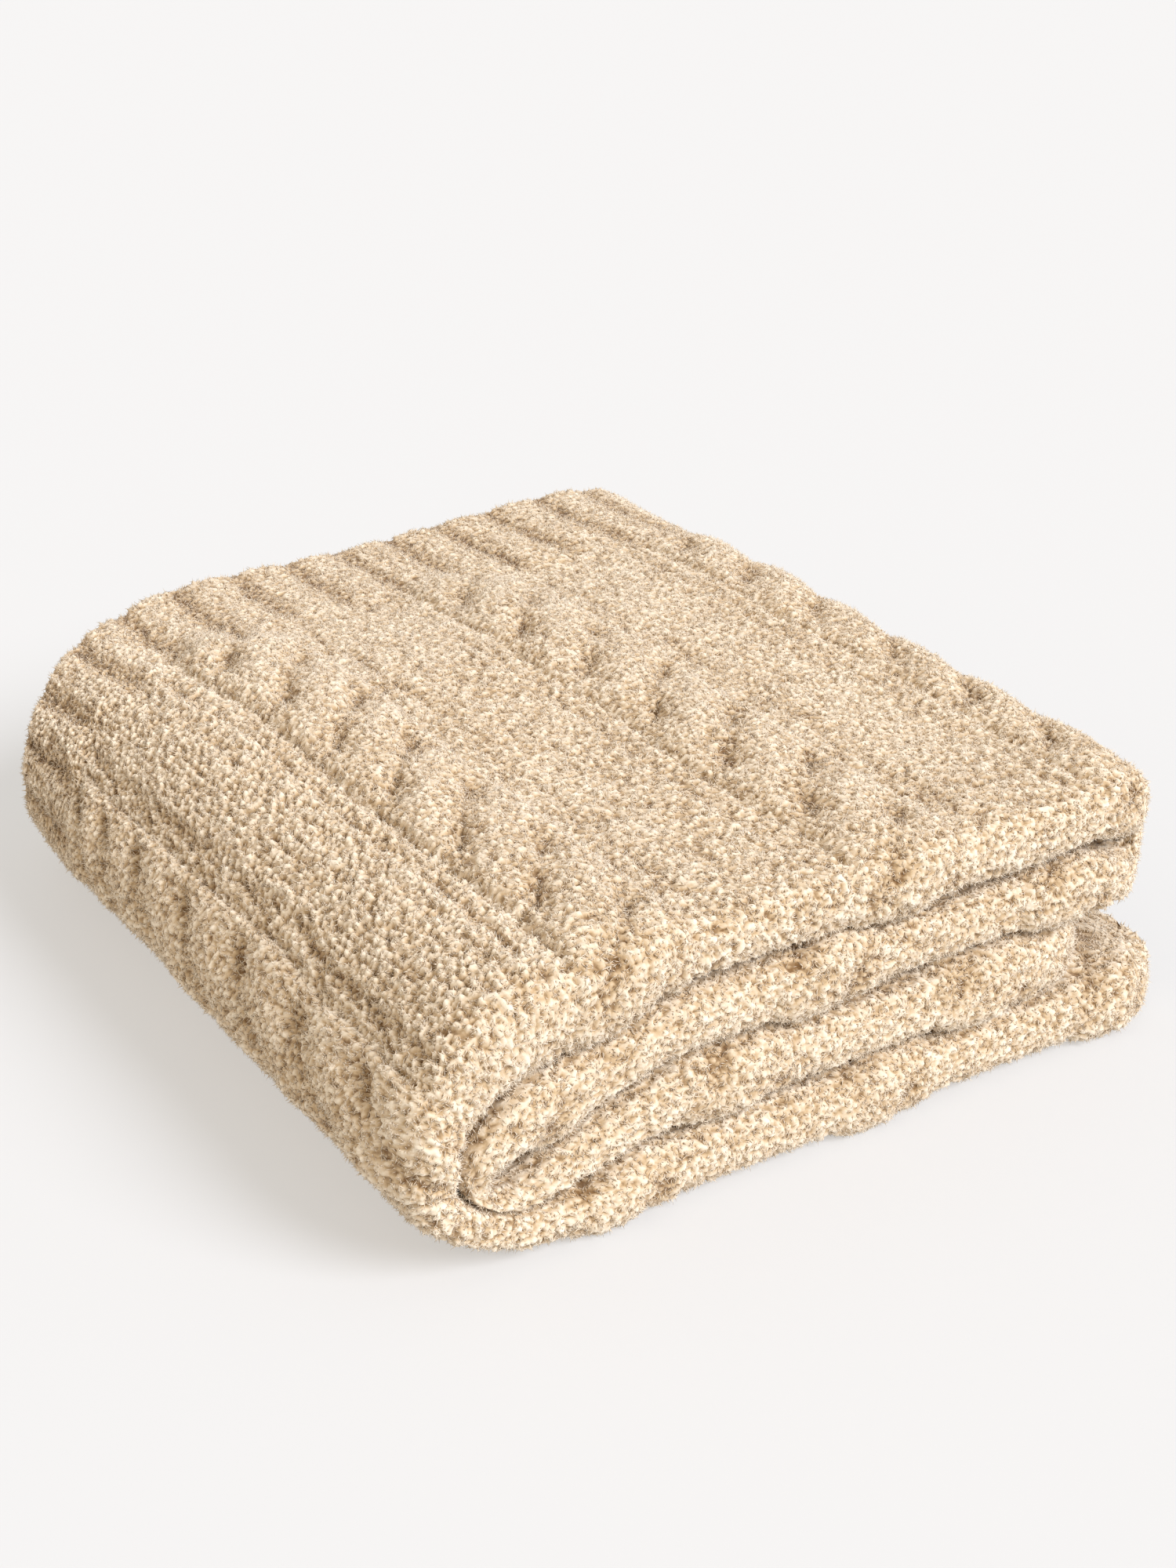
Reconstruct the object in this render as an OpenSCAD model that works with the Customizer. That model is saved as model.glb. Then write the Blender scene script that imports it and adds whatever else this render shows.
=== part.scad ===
// A knitted throw blanket, folded in four along its length and in four along its width.
// Folding along the length makes a strip four plies thick: two hem plies, then two plain plies.
// The strip is then folded twice along the width, which stacks it into four layers.
// +X is the side with the front folds, -Y the big round side fold, and Z is up.

/* [Stack] */
// Depth of the stack, from the back hems to the front folds
stack_d = 384; // [300:4:460]
// Width of the stack, from the big side fold to the free end of the bottom layer
stack_w = 336; // [280:4:420]
// Thickness of one ply of the knit
ply_t = 6.71; // [5:0.01:8]

/* [Folds] */
// How far the tight right-hand fold stands back from the free end of the bottom layer
right_fold_back = 3; // [0:1:20]
// How far the free end of the third layer stands back from that of the bottom layer
third_end_back = 40; // [10:1:80]
// Radius of the hollow at the heart of each tight fold
heart_r = 1.5; // [0.5:0.5:4]

/* [Hems] */
// Depth of each ribbed hem band
hem_d = 56; // [35:1:80]
// Distance from one hem rib to the next
hem_rib_pitch = 26.5; // [12:0.5:40]
// Width of the furrow between two hem ribs
hem_furrow_w = 6; // [3:0.5:10]
// Depth of the furrow between two hem ribs
hem_furrow_deep = 1.2; // [0.4:0.2:2.4]

/* [Clearance] */
// Gap between the half that opens and the half that stays
half_gap = 0.6; // [0.4:0.1:2]

/* [Hidden] */
$fn = 64;
layer_t = 4 * ply_t;
stack_h = 4 * layer_t + half_gap;
mid_z = stack_h / 2;
front_x = stack_d / 2;
back_x = -stack_d / 2;
left_y = -stack_w / 2;
right_y = stack_w / 2;
// Front fold centres, back fold centre and the seam between hem band and panel
fold_x = front_x - layer_t / 2;
back_fold_x = back_x + ply_t;
seam_x = back_x + hem_d;
// Axis of the side folds, of the right-hand fold, and the ends of the layers
side_y = left_y + mid_z;
tight_y = right_y - right_fold_back - layer_t;
third_y = right_y - third_end_back;
hinge_y = side_y - half_gap / 2;
layer1_z = 3 * layer_t + half_gap;
layer2_z = 2 * layer_t + half_gap;
layer3_z = layer_t;
layer4_z = 0;
// Room for cutting shapes that reach past the stack
past = 10;
YARN = "burlywood";
YARN_LIGHT = "wheat";
YARN_DARK = "tan";

// Where a layer starts and ends along Y, and whether its right end is a free, rounded edge
function layer_y0(layer) = side_y;
function layer_y1(layer) = layer <= 2 ? tight_y : (layer == 3 ? third_y : right_y);
function layer_free(layer) = layer >= 3;
function layer_z(layer) = [layer1_z, layer2_z, layer3_z, layer4_z][layer - 1];
// The hem ply is uppermost in layers 1 and 3, and lowest in layers 2 and 4
function hem_up(layer) = layer % 2 == 1;
// Height of the underside of ply 1 (hem ply) to ply 4 (plain ply) of a layer
function ply_z(layer, ply) = layer_z(layer) + ply_t * (hem_up(layer) ? 4 - ply : ply - 1);

// A flat piece of ply between two X places, with a rounded edge where the layer ends free
module flat_ply(layer, ply, x0, x1) {
    y0 = layer_y0(layer);
    y1 = layer_y1(layer);
    edge = layer_free(layer) ? ply_t / 2 : 0;
    translate([x0, 0, ply_z(layer, ply)])
    rotate([90, 0, 90])
    linear_extrude(x1 - x0)
    union() {
        translate([y0, 0]) square([y1 - edge - y0, ply_t]);
        if (edge > 0) translate([y1 - edge, ply_t / 2]) circle(r = edge);
    }
}

// Half of a ring, seen along Y, that carries one ply round a fold; side is 1 at the front
module ring_fold(layer, x, z, r_out, r_in, side) {
    y0 = layer_y0(layer);
    y1 = layer_y1(layer);
    translate([x, y1, z])
    rotate([90, 0, 0])
    linear_extrude(y1 - y0)
    intersection() {
        difference() {
            circle(r = r_out);
            circle(r = r_in);
        }
        translate([side > 0 ? 0 : -2 * r_out, -2 * r_out]) square([2 * r_out, 4 * r_out]);
    }
}

// Ribbed hem band: furrows run from the back edge to the seam on the face turned outwards
module hem_band(layer, ply) {
    face_z = ply_z(layer, ply) + (hem_up(layer) ? ply_t - hem_furrow_deep : -past);
    difference() {
        flat_ply(layer, ply, back_x, seam_x);
        for (y = [layer_y0(layer) + hem_rib_pitch : hem_rib_pitch : layer_y1(layer) - hem_rib_pitch])
            translate([back_x - past, y - hem_furrow_w / 2, face_z])
            cube([hem_d + past - hem_furrow_w, hem_furrow_w, past + hem_furrow_deep]);
    }
}

module hem_panel(layer) {
    color(YARN_LIGHT) flat_ply(layer, 1, seam_x, fold_x);
}

module outer_hem(layer) {
    color(YARN) hem_band(layer, 1);
}

module second_panel(layer) {
    color(YARN_DARK) flat_ply(layer, 2, seam_x, fold_x);
}

module second_hem(layer) {
    color(YARN) flat_ply(layer, 2, back_x, seam_x);
}

module third_panel(layer) {
    color(YARN_LIGHT) flat_ply(layer, 3, back_fold_x, fold_x);
}

module plain_panel(layer) {
    color(YARN_DARK) flat_ply(layer, 4, back_fold_x, fold_x);
}

module front_fold(layer) {
    color(YARN) ring_fold(layer, fold_x, layer_z(layer) + layer_t / 2, 2 * ply_t, ply_t, 1);
}

module inner_front_fold(layer) {
    color(YARN_DARK) ring_fold(layer, fold_x, layer_z(layer) + layer_t / 2, ply_t, 0.1, 1);
}

module back_fold(layer) {
    z = layer_z(layer) + (hem_up(layer) ? ply_t : 3 * ply_t);
    color(YARN) ring_fold(layer, back_fold_x, z, ply_t, 0.1, -1);
}

// Outline of the strip across its depth, from radius r0 to r1, with its rounded front folds
module strip_outline(r0, r1) {
    r = (r1 - r0) / 2;
    translate([r0, back_x]) square([r1 - r0, fold_x - back_x]);
    intersection() {
        translate([r0 + r, fold_x]) circle(r = r);
        translate([r0, fold_x]) square([2 * r, 2 * r]);
    }
}

// The strip carried round an axis along X, from angle a0 through turn, measured from +Y to +Z
module strip_bend(y, z, r0, r1, a0, turn) {
    translate([0, y, z])
    rotate([90, 0, 90])
    rotate([0, 0, a0])
    rotate_extrude(angle = turn)
    strip_outline(r0, r1);
}

// Quarter bend at the big side fold; upper is true for the half that opens
module side_bend(r0, r1, upper) {
    z0 = upper ? mid_z + half_gap / 2 : -past;
    intersection() {
        strip_bend(side_y, mid_z, r0, r1, upper ? 90 : 180, 90);
        translate([back_x - past, left_y - past, z0])
        cube([stack_d + 2 * past, mid_z + past, mid_z - half_gap / 2 + past]);
    }
}

module right_fold() {
    color(YARN_LIGHT) strip_bend(tight_y, layer1_z, heart_r, layer_t, -90, 180);
}

module outer_side_fold_lower() {
    color(YARN_LIGHT) side_bend(mid_z - layer_t, mid_z, false);
}

module outer_side_fold_upper() {
    color(YARN_LIGHT) side_bend(mid_z - layer_t, mid_z, true);
}

module inner_side_fold_lower() {
    color(YARN_DARK) side_bend(heart_r, mid_z - layer_t, false);
}

module inner_side_fold_upper() {
    color(YARN_DARK) side_bend(heart_r, mid_z - layer_t, true);
}

hem_panel(1);  // layer1_hem_panel
outer_hem(1);  // layer1_hem_band
second_panel(1);  // layer1_second_panel
second_hem(1);  // layer1_second_hem_band
third_panel(1);  // layer1_third_panel
plain_panel(1);  // layer1_plain_panel
front_fold(1);  // layer1_front_fold
inner_front_fold(1);  // layer1_inner_front_fold
back_fold(1);  // layer1_back_fold
hem_panel(2);  // layer2_hem_panel
outer_hem(2);  // layer2_hem_band
second_panel(2);  // layer2_second_panel
second_hem(2);  // layer2_second_hem_band
third_panel(2);  // layer2_third_panel
plain_panel(2);  // layer2_plain_panel
front_fold(2);  // layer2_front_fold
inner_front_fold(2);  // layer2_inner_front_fold
back_fold(2);  // layer2_back_fold
hem_panel(3);  // layer3_hem_panel
outer_hem(3);  // layer3_hem_band
second_panel(3);  // layer3_second_panel
second_hem(3);  // layer3_second_hem_band
third_panel(3);  // layer3_third_panel
plain_panel(3);  // layer3_plain_panel
front_fold(3);  // layer3_front_fold
inner_front_fold(3);  // layer3_inner_front_fold
back_fold(3);  // layer3_back_fold
hem_panel(4);  // layer4_hem_panel
outer_hem(4);  // layer4_hem_band
second_panel(4);  // layer4_second_panel
second_hem(4);  // layer4_second_hem_band
third_panel(4);  // layer4_third_panel
plain_panel(4);  // layer4_plain_panel
front_fold(4);  // layer4_front_fold
inner_front_fold(4);  // layer4_inner_front_fold
back_fold(4);  // layer4_back_fold
right_fold();
outer_side_fold_lower();
outer_side_fold_upper();
inner_side_fold_lower();
inner_side_fold_upper();
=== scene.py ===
"""A cable-knitted throw blanket of fluffy yarn, folded into a stack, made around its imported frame.

The throw is one rectangle of knit. It is folded in four along its length, which gives a strip four
plies thick, and the strip is folded in four along its width, which gives a stack of four layers.
Each stretch of the strip is two sheets: the outer plies, which wrap round the front of the layer,
and the inner plies, which lie folded inside them. A pile of short fibres stands on what shows.
"""

from __future__ import annotations

import logging
import math
from dataclasses import dataclass
from enum import Enum

import bmesh
import bpy
import numpy as np
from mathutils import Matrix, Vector

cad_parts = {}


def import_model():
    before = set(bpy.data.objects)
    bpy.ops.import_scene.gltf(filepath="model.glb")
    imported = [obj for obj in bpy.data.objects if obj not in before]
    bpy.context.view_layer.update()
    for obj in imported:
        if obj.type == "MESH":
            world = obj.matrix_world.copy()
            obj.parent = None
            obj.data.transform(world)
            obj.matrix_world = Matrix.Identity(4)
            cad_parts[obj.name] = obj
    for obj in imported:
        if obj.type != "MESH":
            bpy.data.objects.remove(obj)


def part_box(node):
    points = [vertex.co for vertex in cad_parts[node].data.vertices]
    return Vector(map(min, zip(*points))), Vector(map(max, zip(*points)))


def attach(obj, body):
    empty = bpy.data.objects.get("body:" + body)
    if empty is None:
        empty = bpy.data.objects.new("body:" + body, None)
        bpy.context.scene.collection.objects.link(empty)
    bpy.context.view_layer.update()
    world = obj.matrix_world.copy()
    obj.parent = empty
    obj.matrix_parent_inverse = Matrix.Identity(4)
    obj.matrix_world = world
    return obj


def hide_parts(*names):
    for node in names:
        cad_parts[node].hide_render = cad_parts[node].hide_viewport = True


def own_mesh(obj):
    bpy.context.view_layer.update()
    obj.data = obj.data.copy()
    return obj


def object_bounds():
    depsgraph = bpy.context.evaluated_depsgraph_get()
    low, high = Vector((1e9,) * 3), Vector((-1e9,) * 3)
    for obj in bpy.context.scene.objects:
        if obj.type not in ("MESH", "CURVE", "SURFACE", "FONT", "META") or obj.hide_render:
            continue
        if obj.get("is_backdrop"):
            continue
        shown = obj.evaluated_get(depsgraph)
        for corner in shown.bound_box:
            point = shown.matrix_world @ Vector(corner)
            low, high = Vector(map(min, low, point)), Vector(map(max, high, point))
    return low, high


LOG = logging.getLogger("throw")
LAID_FLAT = "OFBake"  # the UV map that lays each piece flat
PAINTED_SHADE = "shade"  # the attribute of painted shade, from 0 to 1: darker in pits, furrows and crossings, lighter on raised tufts
HALF_TURN = math.pi
QUARTER_TURN = math.pi / 2
MM = 0.001


def smooth_step(start: float, end: float, value: np.ndarray) -> np.ndarray:
    """Rises smoothly from 0 at start to 1 at end.

    Args:
        start: Value at which the rise starts.
        end: Value at which it ends, which may be below start.
        value: Values to test.

    Returns:
        The height of the rise at each value.
    """
    share = np.clip((value - start) / (end - start), 0.0, 1.0)
    return share * share * (3.0 - 2.0 * share)


def scatter(i: np.ndarray, j: np.ndarray, salt: int) -> np.ndarray:
    """Gives repeatable random numbers for pairs of whole numbers.

    Args:
        i: First whole number of each pair.
        j: Second whole number of each pair.
        salt: Picks one of many such fields.

    Returns:
        Numbers from 0 to 1.
    """
    mixed = i.astype(np.int64) * 73856093 ^ j.astype(np.int64) * 19349663 ^ (salt * 83492791)
    mixed = (mixed ^ (mixed >> 15)) * 0x2C1B3C6D & 0x7FFFFFFF
    mixed = (mixed ^ (mixed >> 12)) * 0x297A2D39 & 0x7FFFFFFF
    mixed ^= mixed >> 15
    return mixed / float(0x7FFFFFFF)


def cells(points: np.ndarray, size: float) -> tuple[np.ndarray, np.ndarray]:
    """Fills space with cells of about one size, each round a middle of its own.

    Args:
        points: Points, one row each.
        size: Distance from one cell to the next.

    Returns:
        The squared distance of each point to the nearest middle, in cells, and a random number
        from 0 to 1 that the whole cell shares.
    """
    place = points / size
    corner = np.floor(place)
    best, own = np.full(place.shape[:-1], 9.0), np.zeros(place.shape[:-1])
    for step in np.ndindex(3, 3, 3):
        cell = corner + (np.array(step) - 1)
        i, j, k = (cell[..., axis].astype(np.int64) for axis in range(3))
        column = i * 4099 + k
        gap = np.zeros_like(best)
        for axis in range(3):
            middle = cell[..., axis] + 0.12 + 0.76 * scatter(column, j, axis + 1)
            gap += (place[..., axis] - middle) ** 2
        nearer = gap < best
        best = np.where(nearer, gap, best)
        own = np.where(nearer, scatter(column, j, 4), own)
    return best, own


def haze(points: np.ndarray, size: float, salt: int) -> np.ndarray:
    """Gives a smooth random field in space.

    Args:
        points: Points, one row each.
        size: Distance over which the field changes.
        salt: Picks one of many such fields.

    Returns:
        Values from -1 to 1.
    """
    place = points / size
    corner = np.floor(place)
    share = place - corner
    share = share * share * (3 - 2 * share)
    total = np.zeros(place.shape[:-1])
    for step in np.ndindex(2, 2, 2):
        cell = (corner + np.array(step)).astype(np.int64)
        weight = np.prod(np.where(np.array(step) == 1, share, 1 - share), axis=-1)
        total += weight * scatter(cell[..., 0] * 4099 + cell[..., 2], cell[..., 1], salt)
    return 2.0 * total - 1.0


def drift(a: np.ndarray, b: np.ndarray, size: float, salt: int) -> np.ndarray:
    """Gives a smooth random field over a plane.

    Args:
        a: First coordinates.
        b: Second coordinates.
        size: Distance over which the field changes.
        salt: Picks one of many such fields.

    Returns:
        Values from -1 to 1.
    """
    i, j = np.floor(a / size), np.floor(b / size)
    p, q = a / size - i, b / size - j
    p, q = p * p * (3 - 2 * p), q * q * (3 - 2 * q)
    near = scatter(i, j, salt) * (1 - p) + scatter(i + 1, j, salt) * p
    far = scatter(i, j + 1, salt) * (1 - p) + scatter(i + 1, j + 1, salt) * p
    return 2.0 * (near * (1 - q) + far * q) - 1.0


def stations(start: float, *spans: tuple[float, float]) -> np.ndarray:
    """Sets out places along a line.

    Args:
        start: Where the first span starts.
        spans: Where each span ends, and the largest step in it.

    Returns:
        The places, in order.
    """
    places = [np.array([start])]
    for end, step in spans:
        count = max(1, math.ceil(abs(end - start) / step))
        places.append(np.linspace(start, end, count + 1)[1:])
        start = end
    return np.concatenate(places)


class Body(Enum):
    """The halves of the stack that part when it is opened like a book."""

    STAY = "stay_half"
    LIFT = "lift_half"


class Wrap(Enum):
    """The two sheets that a layer of the strip is made of."""

    OUTER = "outer_plies"
    INNER = "inner_plies"


@dataclass(frozen=True)
class Stack:
    """Sizes of the folded stack, read from its frame, in metres."""

    back_x: float
    left_y: float
    right_y: float
    side_y: float
    tight_y: float
    third_y: float
    fold_x: float
    back_fold_x: float
    seam_x: float
    mid_z: float
    tight_z: float
    ply_t: float
    levels: tuple[float, float, float, float]

    @classmethod
    def measure(cls) -> Stack:
        """Reads the sizes from the frame's nodes."""
        low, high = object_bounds()
        plain_low, plain_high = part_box("layer1_plain_panel")
        hem_low, hem_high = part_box("layer4_hem_panel")
        folds = [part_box(f"layer{layer}_front_fold") for layer in (1, 2, 3, 4)]
        return cls(
            back_x=low.x,
            left_y=low.y,
            right_y=high.y,
            side_y=plain_low.y,
            tight_y=plain_high.y,
            third_y=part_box("layer3_plain_panel")[1].y,
            fold_x=plain_high.x,
            back_fold_x=plain_low.x,
            seam_x=hem_low.x,
            mid_z=(low.z + high.z) / 2,
            tight_z=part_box("layer1_front_fold")[0].z,
            ply_t=hem_high.z - hem_low.z,
            levels=tuple((a.z + b.z) / 2 for a, b in folds),
        )

    @property
    def layer_t(self) -> float:
        """Thickness of a layer of four plies."""
        return 4 * self.ply_t

    def level(self, layer: int) -> float:
        """Height of the middle of a layer; layer 1 is the top one."""
        return self.levels[layer - 1]


@dataclass(frozen=True)
class Leg:
    """A part of a ply's course that is straight, or turns evenly."""

    length: float
    turn: float = 0.0


class Course:
    """The course of the plies through a layer, seen along the strip: X, and height in the layer."""

    def __init__(self, x: float, height: float, heading: float, legs: list[Leg]) -> None:
        """Sets out the course.

        Args:
            x: X of its start.
            height: Height of its start above the middle of the layer.
            heading: Direction at its start, from +X towards the hem face, in radians.
            legs: Its legs, in order.
        """
        self.legs = legs
        self.starts = [(0.0, x, height, heading)]
        for leg in legs:
            along, *_ = self.starts[-1]
            x, height, heading = self._follow(self.starts[-1], leg, np.array(leg.length))
            self.starts.append((along + leg.length, float(x), float(height), float(heading)))

    @staticmethod
    def _follow(
        start: tuple[float, float, float, float], leg: Leg, along: np.ndarray
    ) -> tuple[np.ndarray, np.ndarray, np.ndarray]:
        """Gives X, height and heading at distances along one leg."""
        _, x, height, heading = start
        if leg.turn == 0.0:
            return x + along * math.cos(heading), height + along * math.sin(heading), heading + 0 * along
        bend = leg.turn / leg.length
        now = heading + bend * along
        return (
            x + (np.sin(now) - math.sin(heading)) / bend,
            height - (np.cos(now) - math.cos(heading)) / bend,
            now,
        )

    @property
    def length(self) -> float:
        """Length of the whole course."""
        return self.starts[-1][0]

    def leg_end(self, index: int) -> float:
        """Distance along the course at which a leg ends."""
        return self.starts[index + 1][0]

    def at(self, along: np.ndarray) -> tuple[np.ndarray, np.ndarray, np.ndarray]:
        """Gives the course at distances along it.

        Args:
            along: Distances from its start.

        Returns:
            X, height and heading at each distance.
        """
        x, height, heading = (np.zeros_like(along) for _ in range(3))
        for start, leg in zip(self.starts, self.legs):
            here = along >= start[0]
            found = self._follow(start, leg, along - start[0])
            x, height, heading = (np.where(here, new, old) for new, old in zip(found, (x, height, heading)))
        return x, height, heading


@dataclass(frozen=True)
class Knit:
    """The pattern of the knit, in metres: ropes between plain panels, furrows, and a ribbed hem."""

    repeat: float = 0.112
    rope_at: float = 0.0286
    rope_half: float = 0.0225
    rope_rise: float = 0.0062
    crossing: float = 0.0475
    crossing_at: float = -0.010
    crossing_lean: float = 0.9
    furrow_at: float = 0.0335
    furrow_half: float = 0.0017
    furrow_deep: float = 0.0012
    hook: float = 0.009
    wobble: float = 0.0028
    crossing_stray: float = 0.004
    ridge_off: float = 0.0056
    ridge_half: float = 0.0022
    ridge_rise: float = 0.0005
    hem_rib: float = 0.0265
    hem_at: float = 0.0065
    hem_deep: float = 0.0026
    hem_fade: float = 0.034
    panel_under: float = 0.0030
    tuft: float = 0.0023
    tuft_rise: float = 0.0018
    pit: float = 0.0050
    pit_deep: float = 0.0009
    fluff: float = 0.0016
    fluff_rise: float = 0.0007
    pit_width: float = 0.045
    tuft_top: float = 1.05
    tuft_slope: float = 1.9
    tuft_least: float = 0.6
    wobble_over: float = 0.040
    stray_over: float = 0.070
    broken_over: float = 0.020
    rope_roundness: float = 0.55
    strand_roundness: float = 0.85
    crossing_sharpness: float = 2.2
    stroke_least: float = 0.35
    rope_parts: float = 0.95
    calm_share: float = 0.75
    hem_level: float = 0.4
    hem_valley: float = 0.19
    hem_stray: float = 0.012
    hem_stray_over: float = 0.030
    dash_least: float = 0.12
    dash_more: float = 0.55
    hook_share: float = 0.6

    def pattern(
        self, across: np.ndarray, along: np.ndarray, hem_end: float, calm: np.ndarray
    ) -> tuple[np.ndarray, np.ndarray]:
        """Gives the large relief of the knit.

        Args:
            across: Places across the ropes, along the strip.
            along: Places along the ropes.
            hem_end: Place along the ropes where the hem band ends.
            calm: How far a fold pulls the furrows flat, from 0 to 1.

        Returns:
            Height above the plain panels, and how deep in a furrow each place is, from 0 to 1, which paints
            shade into the colour of the furrows, crossings and hem valleys.
        """
        across = across + self.wobble * drift(across, along, self.wobble_over, 7)
        off = self.off_line(across, self.rope_at, self.repeat)
        share = np.clip(off / self.rope_half, -1.0, 1.0)
        body = np.power(1.0 - share * share, self.rope_roundness)
        lean = self.crossing_lean * self.rope_half * np.sin(share * QUARTER_TURN)
        stray = self.crossing_stray * drift(across, along, self.stray_over, 9)
        phase = np.sin(HALF_TURN * (along + lean + stray - self.crossing_at) / self.crossing)
        apart = np.power(np.abs(phase), self.strand_roundness)
        stroke = self.stroke_least + (1 - self.stroke_least) * np.sin(HALF_TURN * share) ** 2
        rope = body * (1.0 - self.rope_parts * stroke * (1.0 - apart))
        crossing = body * stroke * np.power(1.0 - np.abs(phase), self.crossing_sharpness)
        furrow = self.furrows(off, across, along)
        from_furrow = np.abs(off) - self.furrow_at
        ridge = np.exp(-(((np.abs(from_furrow) - self.ridge_off) / self.ridge_half) ** 2))
        flat = 1 - self.calm_share * calm
        panel = self.rope_rise * rope + self.ridge_rise * ridge - self.furrow_deep * furrow * flat
        rib_off = self.off_line(across, self.hem_at, self.hem_rib)
        valley = np.exp(-((rib_off / (self.hem_valley * self.hem_rib)) ** 2))
        hem = self.hem_level * self.rope_rise - self.hem_deep * valley
        ragged = along + self.hem_stray * drift(across, along, self.hem_stray_over, 8)
        in_hem = smooth_step(hem_end + self.hem_fade, hem_end, ragged)
        # painted shade: darker in the furrows, at the crossings and in the hem's rib valleys; it only
        # colours, and adds no height
        deep = np.maximum(0.7 * furrow * flat, 0.8 * crossing) * (1 - in_hem) + 0.6 * valley * in_hem
        return panel * (1 - in_hem) + hem * in_hem, np.clip(deep, 0.0, 1.0)

    @staticmethod
    def off_line(across: np.ndarray, at: float, repeat: float) -> np.ndarray:
        """Gives the distance from the nearest of a row of even lines.

        Args:
            across: Places across the lines.
            at: Place of one of the lines.
            repeat: Distance from one line to the next.

        Returns:
            The distances, below 0 on one side.
        """
        return np.mod(across - at + repeat / 2, repeat) - repeat / 2

    def furrows(self, off: np.ndarray, across: np.ndarray, along: np.ndarray) -> np.ndarray:
        """Gives the furrows beside the ropes: broken dashes, which hook in to each crossing.

        Args:
            off: Distance from the middle of the nearest rope.
            across: Places across the ropes.
            along: Places along the ropes.

        Returns:
            How deep in a furrow each place is, from 0 to 1.
        """
        broken = smooth_step(-0.45, 0.35, drift(across, along, self.broken_over, 5))
        plain = np.exp(-(((np.abs(off) - self.furrow_at) / self.furrow_half) ** 2))
        turn = np.mod((along - self.crossing_at) / self.crossing + 0.25, 1.0)
        from_hook = off - (self.furrow_at - self.hook * turn**3)
        ends = smooth_step(0.15, 0.5, turn) * smooth_step(1.0, 0.93, turn)
        hook = np.exp(-((from_hook / (0.9 * self.furrow_half)) ** 2)) * ends
        return np.maximum(plain * (self.dash_least + self.dash_more * broken), self.hook_share * hook)

    def yarn(self, points: np.ndarray) -> tuple[np.ndarray, np.ndarray, np.ndarray]:
        """Gives the tufts and the fluff that the yarn stands up in.

        Args:
            points: Points of the smooth knit, one row each.

        Returns:
            Height to add at each point, how high on a tuft it is, from 0 to 1, and the fluff there,
            from -1 to 1. The tuft and the fluff also set the painted shade of the colour.
        """
        gap, own = cells(points, self.tuft)
        pit_gap, pit_own = cells(points, self.pit)
        pit = np.exp(-pit_gap / self.pit_width) * pit_own
        height = self.tuft_least + (1 - self.tuft_least) * own
        tuft = np.clip(self.tuft_top - self.tuft_slope * gap, 0.0, 1.0) * height * (1 - pit)
        fluff = 0.6 * haze(points, self.fluff, 11) + 0.4 * haze(points, 2.2 * self.fluff, 12)
        return self.tuft_rise * (tuft - 0.5) - self.pit_deep * pit + self.fluff_rise * fluff, tuft, fluff


@dataclass(frozen=True)
class Stretch:
    """A stretch of the strip: a straight run along Y, or a bend about an axis along X."""

    name: str
    body: Body
    nodes: dict[Wrap, tuple[str, ...]]
    y: float
    z: float
    knit_from: float
    knit_length: float
    run: float = 0.0
    radius: float = 0.0
    angle: float = 0.0
    turn: float = 0.0
    facing: int = 1
    step: float = 1.0 * MM
    coarse: float = 2.0 * MM
    plain_step: float = 40 * MM
    free_start: bool = False
    free_end: bool = False
    end_y: float | None = None
    flattens: bool = False
    rests_on: str = "floor"
    face_shows: float = 1.0
    pile: float = 1.0

    @property
    def mid_length(self) -> float:
        """Length of the stretch at the middle of its layer."""
        return abs(self.run) or abs(self.turn) * self.radius

    def lay(self, share: np.ndarray, height: np.ndarray) -> tuple[np.ndarray, np.ndarray]:
        """Gives Y and Z of points in the layer.

        Args:
            share: How far along the stretch each point is, from 0 to 1.
            height: Height of each point above the middle of the layer, towards its hem face.

        Returns:
            Y and Z.
        """
        if self.run:
            return self.y + self.run * share, self.z + math.copysign(1.0, self.run) * height
        angle = self.angle + self.turn * share
        out = self.radius + self.facing * height
        return self.y + out * np.cos(angle), self.z + out * np.sin(angle)


@dataclass(frozen=True)
class Layout:
    """The lines that a sheet is laid out on: columns along the strip, and rows across it."""

    stretch: Stretch
    wrap: Wrap
    course: Course
    along: np.ndarray
    side: np.ndarray
    share: np.ndarray

    @property
    def name(self) -> str:
        """Name of the sheet."""
        return f"{self.stretch.name}_{self.wrap.value}"

    @property
    def middle(self) -> np.ndarray:
        """Distances along the course, halfway between the columns."""
        return (self.along[:-1] + self.along[1:]) / 2

    @property
    def strip(self) -> np.ndarray:
        """Distances along the strip, halfway between the rows."""
        return (self.share[:-1] + self.share[1:]) / 2 * self.stretch.knit_length


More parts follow.
